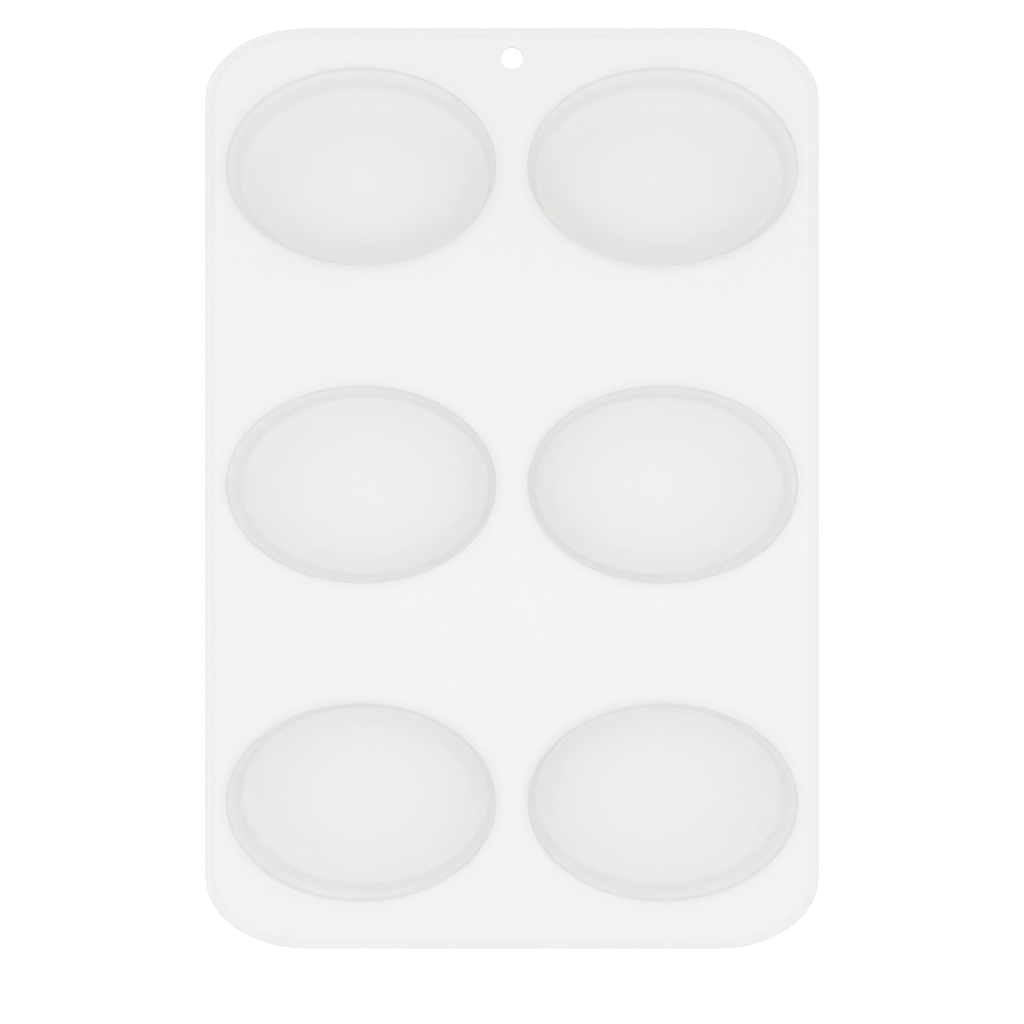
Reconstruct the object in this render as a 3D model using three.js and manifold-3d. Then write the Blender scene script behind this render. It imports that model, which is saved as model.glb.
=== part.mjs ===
// Silicone soap mould with six oval cavities, standing on the flat bottoms of its cups, open side up.
// Millimetres, +Z up. The origin is under the middle of the sheet, on the surface that the cups stand on.
// +X runs across the two columns and +Y along the three rows, towards the end with the hanging hole.
// The mould is one soft moulding. Each node is one region of it, split where it bends or pushes out.

import * as THREE from "three";
import { mergeVertices } from "three/addons/utils/BufferGeometryUtils.js";
import Module from "manifold-3d";

// Sheet
const SHEET_WIDTH = 172;
const SHEET_LENGTH = 258;
const SHEET_THICKNESS = 2;
const CORNER_ACROSS = 28; // corner rounding along X
const CORNER_ALONG = 20; // corner rounding along Y
const OVERALL_HEIGHT = 26;

// Thickened edge that runs round the sheet
const BEAD_WIDTH = 3;
const BEAD_DEPTH = 3.6;
const BEAD_ROUNDING = 0.8;

// Hanging hole, on the centre line near the +Y end
const HANG_HOLE_RADIUS = 3.1;
const HANG_HOLE_FROM_END = 8.6;

// Oval cavities: half sizes of the mouth, their spacing, and the shape of the cup under each
const MOUTH_HALF_ACROSS = 37.75;
const MOUTH_HALF_ALONG = 27.6;
const COLUMN_PITCH = 84.5;
const ROW_PITCH = 89;
const ROWS_SHIFT = 1.1; // the middle row's centre is this far to +Y of the sheet's centre
const WALL_THICKNESS = 2;
const WALL_DRAFT = THREE.MathUtils.degToRad(7);
const FLOOR_THICKNESS = 2;
const FLOOR_CORNER_RADIUS = 7; // between the wall and the floor, inside the cup
const STANDING_RING_WIDTH = 3; // flat ring round the floor panel that the cup stands on
const FLOOR_PANEL_LIFT = 0.3; // the panel is clear of the surface that the ring stands on

// Bends: the sheet folds along the middle of each wide web between two rows
const FOLD_UP_ANGLE = THREE.MathUtils.degToRad(90); // open sides towards each other
const FOLD_DOWN_ANGLE = THREE.MathUtils.degToRad(75); // cups towards each other
const FOLD_SPARE_ANGLE = THREE.MathUtils.degToRad(2);

const GAP = 0.3; // between regions that touch
const CUT_MARGIN = 1; // how far a cutting block runs past what it cuts, above and below
const SIDE_MARGIN = 10; // and at the sheet's edges
const OVAL_SEGMENTS = 40;
const CORNER_SEGMENTS = 12;
const ARC_STEPS = 3;

const SHEET_UNDERSIDE = OVERALL_HEIGHT - SHEET_THICKNESS;
const SHEET_MIDDLE = OVERALL_HEIGHT - SHEET_THICKNESS / 2;
const MOUTH_DEPTH = OVERALL_HEIGHT - FLOOR_THICKNESS;
const END_Y = SHEET_LENGTH / 2;

const COLUMNS = [
  { side: "left", x: -COLUMN_PITCH / 2 },
  { side: "right", x: COLUMN_PITCH / 2 },
];
const ROWS = [
  { place: "top", y: ROWS_SHIFT + ROW_PITCH },
  { place: "middle", y: ROWS_SHIFT },
  { place: "bottom", y: ROWS_SHIFT - ROW_PITCH },
];
const UPPER_FOLD_Y = ROWS_SHIFT + ROW_PITCH / 2;
const LOWER_FOLD_Y = ROWS_SHIFT - ROW_PITCH / 2;

const wasm = await Module();
wasm.setup();

function silicone() {
  return new THREE.MeshStandardMaterial({ color: 0xeff0ec, roughness: 0.55, metalness: 0 });
}

function toSolid(geometry) {
  const bare = geometry.clone();
  bare.deleteAttribute("normal");
  bare.deleteAttribute("uv");
  const merged = mergeVertices(bare, 1e-4);
  const mesh = new wasm.Mesh({
    numProp: 3,
    vertProperties: new Float32Array(merged.attributes.position.array),
    triVerts: new Uint32Array(merged.index.array),
  });
  return new wasm.Manifold(mesh);
}

function toGeometry(solid) {
  const mesh = solid.getMesh();
  const geometry = new THREE.BufferGeometry();
  geometry.setAttribute("position", new THREE.BufferAttribute(mesh.vertProperties, 3));
  geometry.setIndex(new THREE.BufferAttribute(mesh.triVerts, 1));
  geometry.computeVertexNormals();
  return geometry;
}

function named(name, geometry) {
  const mesh = new THREE.Mesh(geometry, silicone());
  mesh.name = name;
  return mesh;
}

// The sheet's outline, moved in from the edge by inset.
function sheetOutline(inset, path) {
  const halfWidth = SHEET_WIDTH / 2 - inset;
  const halfLength = END_Y - inset;
  const across = CORNER_ACROSS - inset;
  const along = CORNER_ALONG - inset;
  const corners = [
    [1, -1, 1.5],
    [1, 1, 0],
    [-1, 1, 0.5],
    [-1, -1, 1],
  ];
  for (const [sideX, sideY, start] of corners) {
    path.absellipse(
      sideX * (halfWidth - across),
      sideY * (halfLength - along),
      across,
      along,
      start * Math.PI,
      (start + 0.5) * Math.PI,
      false,
    );
  }
  path.closePath();
  return path;
}

// The flat sheet inside the bead, with the cavity mouths and the hanging hole cut through it.
function sheetSolid() {
  const outline = sheetOutline(BEAD_WIDTH + GAP, new THREE.Shape());
  for (const row of ROWS) {
    for (const column of COLUMNS) {
      const mouth = new THREE.Path();
      mouth.absellipse(column.x, row.y, MOUTH_HALF_ACROSS, MOUTH_HALF_ALONG, 0, 2 * Math.PI, false);
      outline.holes.push(mouth);
    }
  }
  const hangHole = new THREE.Path();
  hangHole.absarc(0, END_Y - HANG_HOLE_FROM_END, HANG_HOLE_RADIUS, 0, 2 * Math.PI, false);
  outline.holes.push(hangHole);
  const geometry = new THREE.ExtrudeGeometry(outline, {
    depth: SHEET_THICKNESS,
    bevelEnabled: false,
    curveSegments: OVAL_SEGMENTS / 2,
  });
  geometry.translate(0, 0, SHEET_UNDERSIDE);
  return toSolid(geometry);
}

// The bead all round the sheet, level with its top and deeper than it below, with rounded edges.
function beadSolid() {
  const outline = sheetOutline(0, new THREE.Shape());
  outline.holes.push(sheetOutline(BEAD_WIDTH, new THREE.Path()));
  const geometry = new THREE.ExtrudeGeometry(outline, {
    depth: BEAD_DEPTH - 2 * BEAD_ROUNDING,
    bevelEnabled: true,
    bevelThickness: BEAD_ROUNDING,
    bevelSize: BEAD_ROUNDING,
    bevelOffset: -BEAD_ROUNDING,
    bevelSegments: 2,
    curveSegments: CORNER_SEGMENTS / 2,
  });
  geometry.translate(0, 0, OVERALL_HEIGHT - BEAD_DEPTH + BEAD_ROUNDING);
  return toSolid(geometry);
}

// A block over one row, from fold line to fold line. Its ends slope away from the middle of the sheet's
// thickness, above and below, so that two rows can fold towards each other without meeting.
function rowBlock(lowFoldY, highFoldY, lowX, highX) {
  const above = OVERALL_HEIGHT + CUT_MARGIN;
  const below = OVERALL_HEIGHT - BEAD_DEPTH - CUT_MARGIN;
  const slopeUp = Math.tan(FOLD_UP_ANGLE / 2 + FOLD_SPARE_ANGLE) * (above - SHEET_MIDDLE);
  const slopeDown = Math.tan(FOLD_DOWN_ANGLE / 2 + FOLD_SPARE_ANGLE) * (SHEET_MIDDLE - below);
  const lowY = lowFoldY + GAP / 2;
  const highY = highFoldY - GAP / 2;
  const section = new THREE.Shape([
    new THREE.Vector2(lowY, SHEET_MIDDLE),
    new THREE.Vector2(lowY + slopeDown, below),
    new THREE.Vector2(highY - slopeDown, below),
    new THREE.Vector2(highY, SHEET_MIDDLE),
    new THREE.Vector2(highY - slopeUp, above),
    new THREE.Vector2(lowY + slopeUp, above),
  ]);
  const geometry = new THREE.ExtrudeGeometry(section, { depth: highX - lowX, bevelEnabled: false });
  const sectionToWorld = new THREE.Matrix4().makeBasis(
    new THREE.Vector3(0, 1, 0),
    new THREE.Vector3(0, 0, 1),
    new THREE.Vector3(1, 0, 0),
  );
  geometry.applyMatrix4(sectionToWorld);
  geometry.translate(lowX, 0, 0);
  return toSolid(geometry);
}

// Where the cup's rounded lower corner turns: how far in from the mouth its centre is, and how high.
function cornerCentre() {
  const slopeLength =
    (MOUTH_DEPTH - FLOOR_CORNER_RADIUS * (1 - Math.sin(WALL_DRAFT))) / Math.cos(WALL_DRAFT);
  return {
    inset: slopeLength * Math.sin(WALL_DRAFT) + FLOOR_CORNER_RADIUS * Math.cos(WALL_DRAFT),
    height: FLOOR_THICKNESS + FLOOR_CORNER_RADIUS,
  };
}

// Section through a cup's wall: the drafted wall, the rounded corner and the flat standing ring.
// Each point is (inset from the mouth, height), and the section runs round and closes on itself.
function wallSection() {
  const centre = cornerCentre();
  const outerRadius = FLOOR_CORNER_RADIUS + WALL_THICKNESS;
  const wallTop = SHEET_UNDERSIDE - GAP;
  const insetAtTop = (OVERALL_HEIGHT - wallTop) * Math.tan(WALL_DRAFT);
  const ringInset = centre.inset + STANDING_RING_WIDTH;
  const arcPoint = (radius, step) => {
    const angle = Math.PI + WALL_DRAFT + (Math.PI / 2 - WALL_DRAFT) * (step / ARC_STEPS);
    return [centre.inset + radius * Math.cos(angle), centre.height + radius * Math.sin(angle)];
  };
  const points = [[insetAtTop, wallTop]];
  for (let step = 0; step <= ARC_STEPS; step++) points.push(arcPoint(FLOOR_CORNER_RADIUS, step));
  points.push([ringInset, FLOOR_THICKNESS], [ringInset, 0]);
  for (let step = ARC_STEPS; step >= 0; step--) points.push(arcPoint(outerRadius, step));
  points.push([insetAtTop - WALL_THICKNESS / Math.cos(WALL_DRAFT), wallTop], points[0]);
  return points;
}

// A section turned round the cup's axis, then drawn out so that it follows the oval at every inset.
function cupWallGeometry() {
  const profile = wallSection().map(([inset, z]) => new THREE.Vector2(MOUTH_HALF_ACROSS - inset, z));
  const geometry = new THREE.LatheGeometry(profile, OVAL_SEGMENTS);
  geometry.rotateX(Math.PI / 2);
  const position = geometry.attributes.position;
  for (let i = 0; i < position.count; i++) {
    const across = Math.hypot(position.getX(i), position.getY(i));
    const along = MOUTH_HALF_ALONG - (MOUTH_HALF_ACROSS - across);
    position.setY(i, (position.getY(i) * along) / across);
  }
  return toGeometry(toSolid(geometry));
}

// The middle of a cup's floor, inside the standing ring: the part that is pushed up to free the bar.
function cupFloorGeometry() {
  const inset = cornerCentre().inset + STANDING_RING_WIDTH + GAP;
  const oval = new THREE.Shape();
  oval.absellipse(0, 0, MOUTH_HALF_ACROSS - inset, MOUTH_HALF_ALONG - inset, 0, 2 * Math.PI, false);
  const geometry = new THREE.ExtrudeGeometry(oval, {
    depth: FLOOR_THICKNESS - FLOOR_PANEL_LIFT,
    bevelEnabled: false,
    curveSegments: OVAL_SEGMENTS / 2,
  });
  geometry.translate(0, 0, FLOOR_PANEL_LIFT);
  return geometry;
}

const mould = new THREE.Group();
const sheet = sheetSolid();
const bead = beadSolid();
const outerX = SHEET_WIDTH / 2 + SIDE_MARGIN;
const outerY = END_Y + SIDE_MARGIN;
const topBlock = rowBlock(UPPER_FOLD_Y, outerY, -outerX, outerX);
const middleBlock = rowBlock(LOWER_FOLD_Y, UPPER_FOLD_Y, -outerX, outerX);
const middleLeftBlock = rowBlock(LOWER_FOLD_Y, UPPER_FOLD_Y, -outerX, 0);
const middleRightBlock = rowBlock(LOWER_FOLD_Y, UPPER_FOLD_Y, 0, outerX);
const bottomBlock = rowBlock(-outerY, LOWER_FOLD_Y, -outerX, outerX);

mould.add(
  named("sheet_top_row", toGeometry(sheet.intersect(topBlock))),
  named("sheet_middle_row", toGeometry(sheet.intersect(middleBlock))),
  named("sheet_bottom_row", toGeometry(sheet.intersect(bottomBlock))),
  named("edge_bead_top", toGeometry(bead.intersect(topBlock))),
  named("edge_bead_middle_left", toGeometry(bead.intersect(middleLeftBlock))),
  named("edge_bead_middle_right", toGeometry(bead.intersect(middleRightBlock))),
  named("edge_bead_bottom", toGeometry(bead.intersect(bottomBlock))),
);

for (const row of ROWS) {
  for (const column of COLUMNS) {
    const cup = new THREE.Group();
    cup.position.set(column.x, row.y, 0);
    cup.add(named(`cup_wall_${row.place}_${column.side}`, cupWallGeometry()));
    cup.add(named(`cup_floor_${row.place}_${column.side}`, cupFloorGeometry()));
    mould.add(cup);
  }
}

export default mould;
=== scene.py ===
"""A frosted white silicone soap mould with six oval cups, seen from straight above in soft light."""

import math

import bmesh
import bpy
import numpy as np
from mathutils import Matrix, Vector
from mathutils.geometry import delaunay_2d_cdt


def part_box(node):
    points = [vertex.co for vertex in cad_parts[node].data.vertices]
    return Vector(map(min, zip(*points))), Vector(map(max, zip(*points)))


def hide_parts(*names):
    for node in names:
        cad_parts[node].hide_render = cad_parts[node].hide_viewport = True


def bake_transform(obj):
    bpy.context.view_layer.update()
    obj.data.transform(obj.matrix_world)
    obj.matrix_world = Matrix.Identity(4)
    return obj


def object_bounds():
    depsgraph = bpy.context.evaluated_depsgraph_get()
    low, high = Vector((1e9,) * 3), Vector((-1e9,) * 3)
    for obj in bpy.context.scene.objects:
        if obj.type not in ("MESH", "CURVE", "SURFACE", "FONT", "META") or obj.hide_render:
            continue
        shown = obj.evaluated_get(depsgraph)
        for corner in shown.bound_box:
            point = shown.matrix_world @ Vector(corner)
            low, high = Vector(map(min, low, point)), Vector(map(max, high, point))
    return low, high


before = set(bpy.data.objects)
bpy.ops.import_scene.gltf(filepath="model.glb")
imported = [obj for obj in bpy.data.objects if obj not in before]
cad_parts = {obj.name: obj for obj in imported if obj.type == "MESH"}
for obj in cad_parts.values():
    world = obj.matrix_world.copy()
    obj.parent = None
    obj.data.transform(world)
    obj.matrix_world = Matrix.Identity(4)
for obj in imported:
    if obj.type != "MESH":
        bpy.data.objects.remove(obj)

MM = 0.001

# The whole mould, from the frame
CAD_LOW, CAD_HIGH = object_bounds()
HALF_WIDTH = CAD_HIGH.x
HALF_LENGTH = CAD_HIGH.y
TOP = CAD_HIGH.z
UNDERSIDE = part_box("sheet_middle_row")[0].z
BEAD_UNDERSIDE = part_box("edge_bead_top")[0].z
THICKNESS = TOP - UNDERSIDE

# The sheet's edge and the hanging hole
CORNER_ACROSS = 28 * MM
CORNER_ALONG = 20 * MM
BEAD_WIDTH = 3 * MM  # from the edge in to where the sheet is flat
BEAD_SLOPE = math.radians(13)  # its top falls towards the edge
BEAD_ROUNDING = 0.9 * MM
BEAD_SIDE = 0.4 * MM  # height of its upright side
BEAD_LEG = 2.5 * MM  # width of the part that hangs below the sheet
SHOULDER_STEPS = 4
EDGE_STEPS = 8
UNDER_STEPS = 14
HANG_HOLE_RADIUS = 3.1 * MM
HANG_HOLE_Y = HALF_LENGTH - 8.6 * MM
HANG_HOLE_ROUNDING = 0.5 * MM
HANG_HOLE_FLAT = HANG_HOLE_RADIUS + HANG_HOLE_ROUNDING  # where the sheet is flat again round the hole
HANG_HOLE_POINTS = 32
HANG_HOLE_STEPS = 4

# The cups
MOUTH_ACROSS = 37.75 * MM
MOUTH_ALONG = 27.6 * MM
DRAFT = math.radians(7)
WALL = 2 * MM
FLOOR_TOP = 2 * MM
CORNER_RADIUS = 7 * MM
RIM_ROUNDING = 0.7 * MM
CUP_FLANGE = 2.1 * MM  # how far outside the mouth a cup's own skin starts
ROOT_IN = 0.05 * MM  # the wall's outside meets the sheet's underside in a small slope,
ROOT_DROP = 0.35 * MM  # this far in and this far down
RIM_STEPS = 6
WALL_STEPS = 12
CORNER_STEPS = 12
FLOOR_OVALS = (0.85, 0.7, 0.55, 0.4, 0.25, 0.1)  # the ovals that close a floor, as shares of its flat

# How finely the mould is divided
OVAL_POINTS = 128
CORNER_POINTS = 24
GRID_ACROSS = 4 * MM
GRID_ALONG = 2 * MM
GRID_INSIDE = GRID_ACROSS * 0.75  # across, on the flat of the sheet
GRID_FROM_BORDER = 0.9 * MM  # points on the flat stay this far from its borders
SAME_PLACE = 1e-6  # points closer than this, in metres, are joined into one
PLAN_TOLERANCE = 1e-7

ROWS = ("top", "middle", "bottom")
COLUMNS = ("left", "right")


def cup_centre(row, column):
    low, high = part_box(f"cup_wall_{row}_{column}")
    return (low.x + high.x) / 2, (low.y + high.y) / 2


CENTRES = {(row, column): cup_centre(row, column) for row in ROWS for column in COLUMNS}
MIDDLE_Y = CENTRES["middle", "left"][1]


# ---------------------------------------------------------------- outlines

def oval(centre, across, along, count=OVAL_POINTS):
    turn = np.linspace(0, 2 * math.pi, count, endpoint=False)
    return np.stack([centre[0] + across * np.cos(turn), centre[1] + along * np.sin(turn)], axis=1)


def mouth_ring(centre, inset):
    """The cup's oval, moved in from the mouth by inset."""
    return oval(centre, MOUTH_ACROSS - inset, MOUTH_ALONG - inset)


def spaced(low, high, step):
    """Values from low up to but not including high, about step apart."""
    return np.linspace(low, high, max(1, round(abs(high - low) / step)), endpoint=False)


def edge_ring(inset):
    """The sheet's outline, moved in by inset, anticlockwise from the middle of the right side."""
    x, y = HALF_WIDTH - inset, HALF_LENGTH - inset
    across, along = CORNER_ACROSS - inset, CORNER_ALONG - inset
    side, end = y - along, x - across
    points = [(x, v) for v in spaced(MIDDLE_Y, side, GRID_ALONG)]
    for quarter, (cx, cy) in enumerate(((end, side), (-end, side), (-end, -side), (end, -side))):
        for turn in np.linspace(quarter, quarter + 1, CORNER_POINTS, endpoint=False) * math.pi / 2:
            points.append((cx + across * math.cos(turn), cy + along * math.sin(turn)))
        if quarter == 0:
            points += [(u, y) for u in spaced(end, -end, GRID_ACROSS)]
        if quarter == 1:
            points += [(-x, v) for v in spaced(side, MIDDLE_Y, GRID_ALONG)]
            points += [(-x, v) for v in spaced(MIDDLE_Y, -side, GRID_ALONG)]
        if quarter == 2:
            points += [(u, -y) for u in spaced(-end, end, GRID_ACROSS)]
        if quarter == 3:
            points += [(x, v) for v in spaced(-side, MIDDLE_Y, GRID_ALONG)]
    return np.array(points)


# ---------------------------------------------------------------- sections

def arc(centre, radius, first, last, steps):
    """Points (inset, height) along an arc; angles in degrees."""
    turn = np.radians(np.linspace(first, last, steps + 1))
    return [(centre[0] + radius * math.cos(t), centre[1] + radius * math.sin(t)) for t in turn]


def bead_section():
    """From the flat of the sheet down the sloping edge and round underneath, as (inset, height)."""
    slope = math.degrees(BEAD_SLOPE)
    side_top = TOP - BEAD_ROUNDING - (BEAD_WIDTH - BEAD_ROUNDING) * math.tan(BEAD_SLOPE)
    side_foot = side_top - BEAD_SIDE
    half, lowest = BEAD_LEG / 2, side_foot - BEAD_UNDERSIDE
    shoulder = arc((BEAD_WIDTH, TOP - BEAD_ROUNDING), BEAD_ROUNDING, 90, 90 + slope, SHOULDER_STEPS)
    over_edge = arc((BEAD_ROUNDING, side_top), BEAD_ROUNDING, 90 + slope, 180, EDGE_STEPS)
    turns = np.radians(np.linspace(180, 360, UNDER_STEPS + 1))
    under = [(half + half * math.cos(turn), side_foot + lowest * math.sin(turn)) for turn in turns]
    return shoulder + over_edge + under


def corner_centre():
    """Where the arc of a cup's lower corner has its centre, as (inset, height)."""
    slope = (TOP - FLOOR_TOP - CORNER_RADIUS * (1 - math.sin(DRAFT))) / math.cos(DRAFT)
    inset = slope * math.sin(DRAFT) + CORNER_RADIUS * math.cos(DRAFT)
    return inset, FLOOR_TOP + CORNER_RADIUS


def down_wall(first, last, steps):
    """Points along the straight wall between two points, both left out."""
    return [
        (first[0] + (last[0] - first[0]) * t, first[1] + (last[1] - first[1]) * t)
        for t in np.linspace(0, 1, steps + 1)[1:-1]
    ]


def inner_section():
    """Inside of a cup from the flat of the sheet, over the rim and down to the edge of its flat floor."""
    slope = RIM_ROUNDING * (1 - math.sin(DRAFT)) / math.cos(DRAFT)
    rim = (slope * math.sin(DRAFT) - RIM_ROUNDING * math.cos(DRAFT), TOP - RIM_ROUNDING)
    draft = math.degrees(DRAFT)
    over_rim = arc(rim, RIM_ROUNDING, 90, draft, RIM_STEPS)
    corner = arc(corner_centre(), CORNER_RADIUS, 180 + draft, 270, CORNER_STEPS)
    return [(-CUP_FLANGE, TOP), *over_rim, *down_wall(over_rim[-1], corner[0], WALL_STEPS), *corner]


def outer_section():
    """Outside of a cup from the sheet's underside down to the edge of its flat base."""
    draft = math.degrees(DRAFT)
    corner = arc(corner_centre(), CORNER_RADIUS + WALL, 180 + draft, 270, CORNER_STEPS)
    wall_top = THICKNESS * math.tan(DRAFT) - WALL / math.cos(DRAFT)
    root = (wall_top + ROOT_IN, UNDERSIDE - ROOT_DROP)
    return [(-CUP_FLANGE, UNDERSIDE), root, *down_wall(root, corner[0], WALL_STEPS), *corner]


# ---------------------------------------------------------------- meshes

def make_piece(name, vertices, faces):
    mesh = bpy.data.meshes.new(name)
    mesh.from_pydata([tuple(v) for v in vertices], [], faces)
    mesh.validate()
    mesh.update()
    mesh.shade_smooth()
    piece = bpy.data.objects.new(name, mesh)
    bpy.context.scene.collection.objects.link(piece)
    return piece


def loft(rings):
    """Faces between equal closed rings that follow one another, as indices from 0."""
    faces, count = [], len(rings[0])
    for level in range(len(rings) - 1):
        low, high = level * count, (level + 1) * count
        for i in range(count):
            j = (i + 1) % count
            faces.append((low + i, low + j, high + j, high + i))
    return faces


def cup_side(centre, section, facing_up):
    """One side of a cup: its section carried round the oval, and its floor closed by ever smaller ovals."""
    rings = [np.column_stack([mouth_ring(centre, inset), np.full(OVAL_POINTS, z)]) for inset, z in section]
    flat = rings[-1]
    middle = np.array([centre[0], centre[1], flat[0][2]])
    for share in FLOOR_OVALS:
        rings.append(middle + (flat - middle) * share)
    faces = loft(rings)
    vertices = np.concatenate([*rings, middle[None]])
    last = (len(rings) - 1) * OVAL_POINTS
    for i in range(OVAL_POINTS):
        faces.append((last + i, last + (i + 1) % OVAL_POINTS, len(vertices) - 1))
    if not facing_up:
        faces = [tuple(reversed(face)) for face in faces]
    return vertices, faces


def cup_skin(row, column):
    centre = CENTRES[row, column]
    inside, inside_faces = cup_side(centre, inner_section(), True)
    outside, outside_faces = cup_side(centre, outer_section(), False)
    shift = len(inside)
    faces = inside_faces + [tuple(i + shift for i in face) for face in outside_faces]
    return make_piece(f"cup_{row}_{column}", np.concatenate([inside, outside]), faces)


def in_sheet(points):
    """Which points lie on the flat of the sheet, inside the bead and outside the cups and the hole."""
    x, y = points[:, 0], points[:, 1]
    half_x, half_y = HALF_WIDTH - BEAD_WIDTH, HALF_LENGTH - BEAD_WIDTH
    across, along = CORNER_ACROSS - BEAD_WIDTH, CORNER_ALONG - BEAD_WIDTH
    over_x = np.clip(np.abs(x) - (half_x - across), 0, None) / across
    over_y = np.clip(np.abs(y) - (half_y - along), 0, None) / along
    inside = (np.abs(x) < half_x) & (np.abs(y) < half_y) & (over_x**2 + over_y**2 < 1)
    for cx, cy in CENTRES.values():
        oval_x = (x - cx) / (MOUTH_ACROSS + CUP_FLANGE)
        oval_y = (y - cy) / (MOUTH_ALONG + CUP_FLANGE)
        inside &= oval_x**2 + oval_y**2 > 1
    return inside & (np.hypot(x, y - HANG_HOLE_Y) > HANG_HOLE_FLAT)


def sheet_plan():
    """The flat of the sheet as triangles in plan, with the cut across the middle row among their edges."""
    loops = [edge_ring(BEAD_WIDTH)]
    loops += [mouth_ring(centre, -CUP_FLANGE) for centre in CENTRES.values()]
    loops.append(oval((0, HANG_HOLE_Y), HANG_HOLE_FLAT, HANG_HOLE_FLAT, HANG_HOLE_POINTS))
    points, edges = [], []
    for loop in loops:
        first = len(points)
        points += [tuple(p) for p in loop]
        edges += [(first + i, first + (i + 1) % len(loop)) for i in range(len(loop))]
    borders = np.array(points)
    steps_x = np.arange(-HALF_WIDTH, HALF_WIDTH, GRID_INSIDE)
    steps_y = np.arange(-HALF_LENGTH, HALF_LENGTH, GRID_ALONG)
    grid = np.array([(x, y) for x in steps_x for y in steps_y])
    grid = grid[in_sheet(grid) & (np.abs(grid[:, 1] - MIDDLE_Y) > GRID_ALONG / 2)]
    clear = np.array([np.min(np.hypot(*(borders - p).T)) > GRID_FROM_BORDER for p in grid])
    points += [tuple(p) for p in grid[clear]]
    reach = MOUTH_ACROSS + CUP_FLANGE
    left, right = CENTRES["middle", "left"][0], CENTRES["middle", "right"][0]
    ends = HALF_WIDTH - BEAD_WIDTH
    for low, high in ((-ends, left - reach), (left + reach, right - reach), (right + reach, ends)):
        first = len(points)
        bridge = np.linspace(low, high, max(2, round((high - low) / GRID_ALONG) + 1))
        points += [(x, MIDDLE_Y) for x in bridge]
        edges += [(first + i, first + i + 1) for i in range(len(bridge) - 1)]
    found = delaunay_2d_cdt([Vector(p) for p in points], edges, [], 0, PLAN_TOLERANCE)
    plan = np.array([tuple(p) for p in found[0]])
    triangles = np.array([tuple(t) for t in found[2]])
    return plan, triangles[in_sheet(plan[triangles].mean(axis=1))]


def hang_hole_rings():
    """Rings from the top of the sheet round the hole's edge to the underside."""
    rounding, steps = HANG_HOLE_ROUNDING, HANG_HOLE_STEPS
    top_edge = arc((HANG_HOLE_FLAT, TOP - rounding), rounding, 90, 180, steps)
    low_edge = arc((HANG_HOLE_FLAT, UNDERSIDE + rounding), rounding, 180, 270, steps)
    rings = []
    for radius, z in top_edge + low_edge:
        circle = oval((0, HANG_HOLE_Y), radius, radius, HANG_HOLE_POINTS)
        rings.append(np.column_stack([circle, np.full(HANG_HOLE_POINTS, z)]))
    return rings


def sheet_skin(name, side, plan, triangles):
    """The sheet with its bead and hanging hole, on the +Y side (1) or the -Y side (-1) of the cut."""
    middles = plan[triangles].mean(axis=1)
    kept = triangles[side * (middles[:, 1] - MIDDLE_Y) > 0]
    area = np.cross(plan[kept[:, 1]] - plan[kept[:, 0]], plan[kept[:, 2]] - plan[kept[:, 0]])
    kept[area < 0] = kept[area < 0][:, ::-1]
    used, kept = np.unique(kept, return_inverse=True)
    kept = kept.reshape(-1, 3)
    flat = plan[used]
    vertices = [np.column_stack([flat, np.full(len(flat), z)]) for z in (TOP, UNDERSIDE)]
    faces = [tuple(t) for t in kept] + [tuple(reversed(t + len(flat))) for t in kept]
    first = 2 * len(flat)

    section = bead_section() + [(BEAD_WIDTH, UNDERSIDE)]
    outlines = [(edge_ring(inset), z) for inset, z in section]
    bead = [np.column_stack([outline, np.full(len(outline), z)]) for outline, z in outlines]
    for face in loft(bead):
        y = np.concatenate(bead)[list(face)][:, 1].mean()
        if side * (y - MIDDLE_Y) > 0:
            faces.append(tuple(i + first for i in reversed(face)))
    vertices += bead
    first += sum(len(ring) for ring in bead)

    if side > 0:
        hole = hang_hole_rings()
        faces += [tuple(i + first for i in face) for face in loft(hole)]
        vertices += hole
    piece = make_piece(name, np.concatenate(vertices), faces)
    merge_close(piece)
    return piece


def merge_close(piece):
    """Joins the points that lie in the same place and drops those that no face uses."""
    work = bmesh.new()
    work.from_mesh(piece.data)
    bmesh.ops.remove_doubles(work, verts=work.verts, dist=SAME_PLACE)
    loose = [v for v in work.verts if not v.link_faces]
    bmesh.ops.delete(work, geom=loose, context="VERTS")
    work.to_mesh(piece.data)
    work.free()
    piece.data.update()


# ---------------------------------------------------------------- material

REST_PLACE = "rest_place"  # each point's place at rest, so that the material moves with the mould

SHEET_WHITE = (0.862, 0.862, 0.859)
# painted light: the cup walls are whiter than the sheet, to lift the shade inside the cups
WALL_PAINTED_LIGHT = (0.999, 0.999, 0.99)
# painted shade: the cup floors are darker and a little warmer than the sheet
CUP_FLOOR_PAINTED_SHADE = (0.807, 0.809, 0.796)
CUP_FLOOR_SHADE_FADE = 5 * MM  # height over which the floor's painted shade turns into the wall's painted light
RIM_PAINTED_LIGHT_FADE = (TOP - 3.5 * MM, TOP - 0.8 * MM)  # heights over which the wall's painted light fades into the sheet's white
CLOUD_WHITE = (0.8, 0.8, 0.78)
CLOUD_SIZE = 35 * MM
CLOUD_STRENGTH = 0.02
CUP_FLOOR_CLARITY = 0.02  # how much light the skin lets through, at the cup floors
SHEET_CLARITY = 0.25  # and from CLEAR_FROM up
CLEAR_FROM = 12 * MM
REFRACTION = 1.41  # of silicone
ROUGHNESS = (0.36, 0.5)
GRAIN_SIZE = 0.5 * MM
GRAIN_DEPTH = 0.01 * MM
WAVE_SIZE = 28 * MM
WAVE_DEPTH = 0.25 * MM


def keep_rest_place(piece):
    """Writes each point's place at rest to the piece, for the material to read."""
    mesh = piece.data
    places = np.empty(3 * len(mesh.vertices), dtype=np.float32)
    mesh.vertices.foreach_get("co", places)
    mesh.attributes.new(REST_PLACE, "FLOAT_VECTOR", "POINT").data.foreach_set("vector", places)


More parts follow.
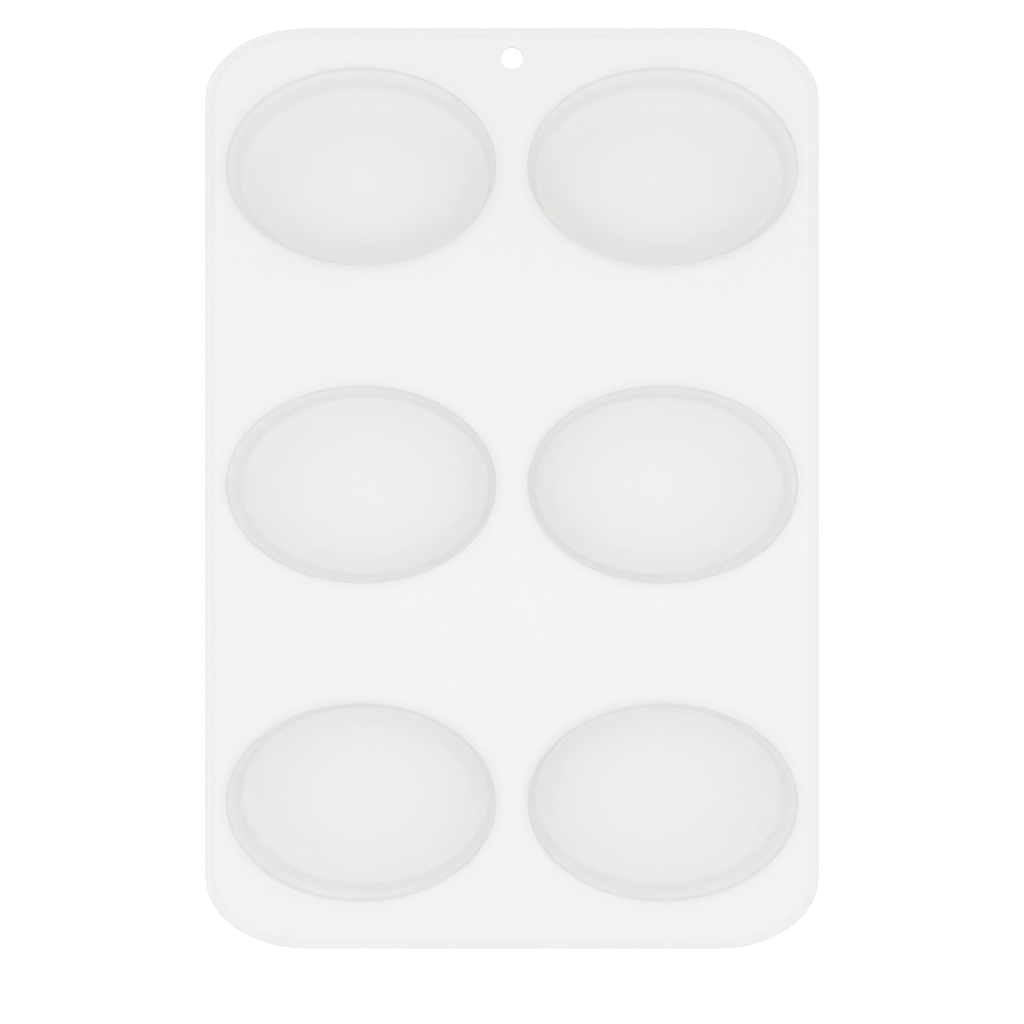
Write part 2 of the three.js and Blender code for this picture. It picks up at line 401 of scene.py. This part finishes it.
def add_noise(tree, place, size, detail):
    """A noise whose blotches are about size across."""
    noise = tree.nodes.new("ShaderNodeTexNoise")
    noise.inputs["Scale"].default_value = 1 / size
    noise.inputs["Detail"].default_value = detail
    tree.links.new(place, noise.inputs["Vector"])
    return noise.outputs["Fac"]


def add_range(tree, value, source, target):
    """Maps value from the range source to the range target."""
    spread = tree.nodes.new("ShaderNodeMapRange")
    for name, number in zip(("From Min", "From Max", "To Min", "To Max"), (*source, *target)):
        spread.inputs[name].default_value = number
    tree.links.new(value, spread.inputs["Value"])
    return spread.outputs["Result"]


# A mix node has sockets of the same name for each kind of data. These are its colours'.
MIX_COLOURS = (6, 7)
MIX_RESULT = 2


def add_mix(tree, factor, first, second):
    """Mixes two colours, each given as a value or as another node's output."""
    mix = tree.nodes.new("ShaderNodeMix")
    mix.data_type = "RGBA"
    tree.links.new(factor, mix.inputs["Factor"])
    for index, colour in zip(MIX_COLOURS, (first, second)):
        if isinstance(colour, tuple):
            mix.inputs[index].default_value = (*colour, 1)
        else:
            tree.links.new(colour, mix.inputs[index])
    return mix.outputs[MIX_RESULT]


def add_bump(tree, height, distance, normal=None):
    bump = tree.nodes.new("ShaderNodeBump")
    bump.inputs["Distance"].default_value = distance
    tree.links.new(height, bump.inputs["Height"])
    if normal:
        tree.links.new(normal, bump.inputs["Normal"])
    return bump.outputs["Normal"]


def silicone(name):
    """Frosted white silicone: finely matt, lets a little light through, with painted shade on the cup
    floors (darker and a little warmer) and painted light on the cup walls (whiter than the sheet).
    """
    material = bpy.data.materials.new(name)
    material.use_nodes = True
    tree = material.node_tree
    shader = tree.nodes["Principled BSDF"]
    rest = tree.nodes.new("ShaderNodeAttribute")
    rest.attribute_name = REST_PLACE
    place = rest.outputs["Vector"]
    parts = tree.nodes.new("ShaderNodeSeparateXYZ")
    tree.links.new(place, parts.inputs[0])
    height = parts.outputs["Z"]

    # painted shade: the cup floors are darker than the walls, fading out up the lower corner
    floor_shade_to_wall_light = add_range(tree, height, (FLOOR_TOP, FLOOR_TOP + CUP_FLOOR_SHADE_FADE), (0, 1))
    # painted light: the cup walls are whiter than the sheet, fading into the sheet's white near the rim
    wall_light_to_sheet = add_range(tree, height, RIM_PAINTED_LIGHT_FADE, (0, 1))
    cup = add_mix(tree, floor_shade_to_wall_light, CUP_FLOOR_PAINTED_SHADE, WALL_PAINTED_LIGHT)
    white = add_mix(tree, wall_light_to_sheet, cup, SHEET_WHITE)
    cloud = add_range(tree, add_noise(tree, place, CLOUD_SIZE, 2), (0.3, 0.7), (0.0, CLOUD_STRENGTH))
    tree.links.new(add_mix(tree, cloud, white, CLOUD_WHITE), shader.inputs["Base Color"])

    clear = add_range(tree, height, (FLOOR_TOP, CLEAR_FROM), (CUP_FLOOR_CLARITY, SHEET_CLARITY))
    tree.links.new(clear, shader.inputs["Transmission Weight"])
    shader.inputs["IOR"].default_value = REFRACTION

    grain = add_noise(tree, place, GRAIN_SIZE, 3)
    tree.links.new(add_range(tree, grain, (0.25, 0.75), ROUGHNESS), shader.inputs["Roughness"])
    waves = add_bump(tree, add_noise(tree, place, WAVE_SIZE, 1), WAVE_DEPTH)
    tree.links.new(add_bump(tree, grain, GRAIN_DEPTH, waves), shader.inputs["Normal"])
    return material


# ---------------------------------------------------------------- the mould

skin = silicone("silicone")
plan, triangles = sheet_plan()
for name, side, other_row in (("sheet_upper", 1, "top"), ("sheet_lower", -1, "bottom")):
    piece = sheet_skin(name, side, plan, triangles)
    keep_rest_place(piece)
    piece.data.materials.append(skin)
    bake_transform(piece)
    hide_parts(f"sheet_{other_row}_row", f"edge_bead_{other_row}")
    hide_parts("sheet_middle_row", "edge_bead_middle_left", "edge_bead_middle_right")

for row in ROWS:
    for column in COLUMNS:
        piece = cup_skin(row, column)
        keep_rest_place(piece)
        piece.data.materials.append(skin)
        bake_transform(piece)
        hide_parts(f"cup_wall_{row}_{column}", f"cup_floor_{row}_{column}")


# ---------------------------------------------------------------- stage, light and camera

SKY_STRENGTH = 1.045
LAMP_PLACE = (0.0, -0.03, 0.4)
LAMP_SIZE = 0.3
LAMP_POWER = 0.25
STAGE_REACH = 6.0  # metres from the middle to each edge
STAGE_WHITE = 0.35
STAGE_ROUGHNESS = 0.9
STAGE_GLOW = 0.75
STAGE_CLEARANCE = 0.05 * MM  # keeps the cups' bases from lying in the floor's own plane


def make_floor():
    """The white floor under the mould, which glows so that the picture's background is pure white."""
    reach, z = STAGE_REACH, -STAGE_CLEARANCE
    corners = [(-reach, -reach, z), (reach, -reach, z), (reach, reach, z), (-reach, reach, z)]
    floor = make_piece("floor", corners, [(0, 1, 2, 3)])
    material = bpy.data.materials.new("floor")
    material.use_nodes = True
    shader = material.node_tree.nodes["Principled BSDF"]
    shader.inputs["Base Color"].default_value = (STAGE_WHITE, STAGE_WHITE, STAGE_WHITE, 1)
    shader.inputs["Roughness"].default_value = STAGE_ROUGHNESS
    shader.inputs["Specular IOR Level"].default_value = 0.0
    shader.inputs["Emission Color"].default_value = (1, 1, 1, 1)
    shader.inputs["Emission Strength"].default_value = STAGE_GLOW
    floor.data.materials.append(material)


def make_lamp():
    """A round lamp above the mould, aimed at the middle of the floor."""
    lamp = bpy.data.lights.new("overhead", "AREA")
    lamp.shape = "DISK"
    lamp.size = LAMP_SIZE
    lamp.energy = LAMP_POWER
    holder = bpy.data.objects.new("overhead", lamp)
    holder.location = LAMP_PLACE
    holder.rotation_euler = Vector(LAMP_PLACE).to_track_quat("Z", "Y").to_euler()
    bpy.context.scene.collection.objects.link(holder)


def make_world():
    world = bpy.data.worlds.new("studio")
    bpy.context.scene.world = world
    world.use_nodes = True
    sky = world.node_tree.nodes["Background"]
    sky.inputs["Color"].default_value = (1, 1, 1, 1)
    sky.inputs["Strength"].default_value = SKY_STRENGTH


SENSOR_WIDTH = 36.0  # millimetres, as a camera's data has it
CAMERA_HEIGHT = 620 * MM  # above the top of the sheet
CAMERA_Y = -15.5 * MM
CAMERA_SHIFT = 0.031  # up, in picture widths
VIEW_WIDTH = 286.4 * MM  # what the picture covers at the top of the sheet


def make_camera():
    camera = bpy.data.cameras.new("camera")
    camera.sensor_width = SENSOR_WIDTH
    camera.lens = SENSOR_WIDTH * CAMERA_HEIGHT / VIEW_WIDTH
    camera.shift_y = CAMERA_SHIFT
    holder = bpy.data.objects.new("camera", camera)
    holder.location = (0, CAMERA_Y, TOP + CAMERA_HEIGHT)
    bpy.context.scene.collection.objects.link(holder)
    bpy.context.scene.camera = holder


make_floor()
make_world()
make_lamp()
make_camera()
bpy.context.scene.view_settings.view_transform = "Standard"
